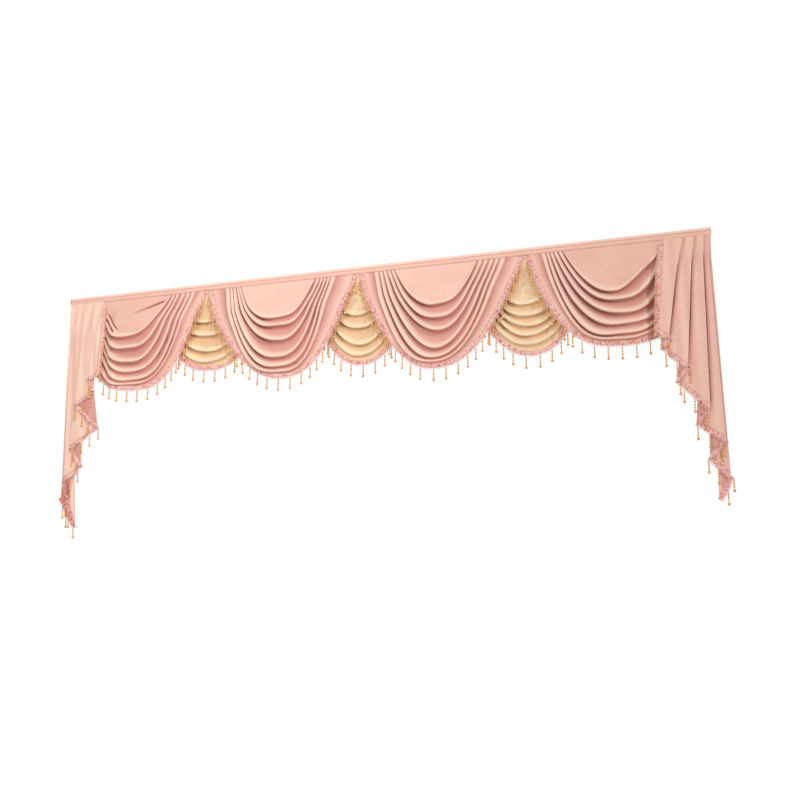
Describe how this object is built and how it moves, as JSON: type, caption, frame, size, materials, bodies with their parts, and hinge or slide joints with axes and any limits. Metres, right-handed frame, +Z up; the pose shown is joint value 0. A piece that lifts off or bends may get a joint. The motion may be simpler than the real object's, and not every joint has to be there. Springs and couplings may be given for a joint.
{
  "type": "window valance",
  "caption": "Wide draped valance of pink swags over cream under-swags, with a pleated cascade tail at each end and beaded braid along every hem.",
  "frame": {"origin": "middle of the valance's top edge, on the flat back of the heading", "axes": "+X along the heading to the right as seen from the room, +Y towards the wall, +Z up"},
  "size_m": [3.0374, 0.0791, 1.141],
  "materials": {
    "pink_cloth": "soft satin weave",
    "cream_cloth": "soft satin weave",
    "braid": "woven gimp braid with amber bead strands"
  },
  "bodies": {
    "root": {"heading": "pink_cloth", "swag_1": "pink_cloth", "swag_2": "pink_cloth", "swag_3": "pink_cloth", "swag_4": "pink_cloth", "underswag_1": "cream_cloth", "underswag_2": "cream_cloth", "underswag_3": "cream_cloth", "tail_left": "pink_cloth", "tail_right": "pink_cloth", "trim_swag_1": "braid", "trim_swag_2": "braid", "trim_swag_3": "braid", "trim_swag_4": "braid", "trim_underswag_1": "braid", "trim_underswag_2": "braid", "trim_underswag_3": "braid", "trim_tail_left": "braid", "trim_tail_right": "braid"}
  },
  "joints": []
}
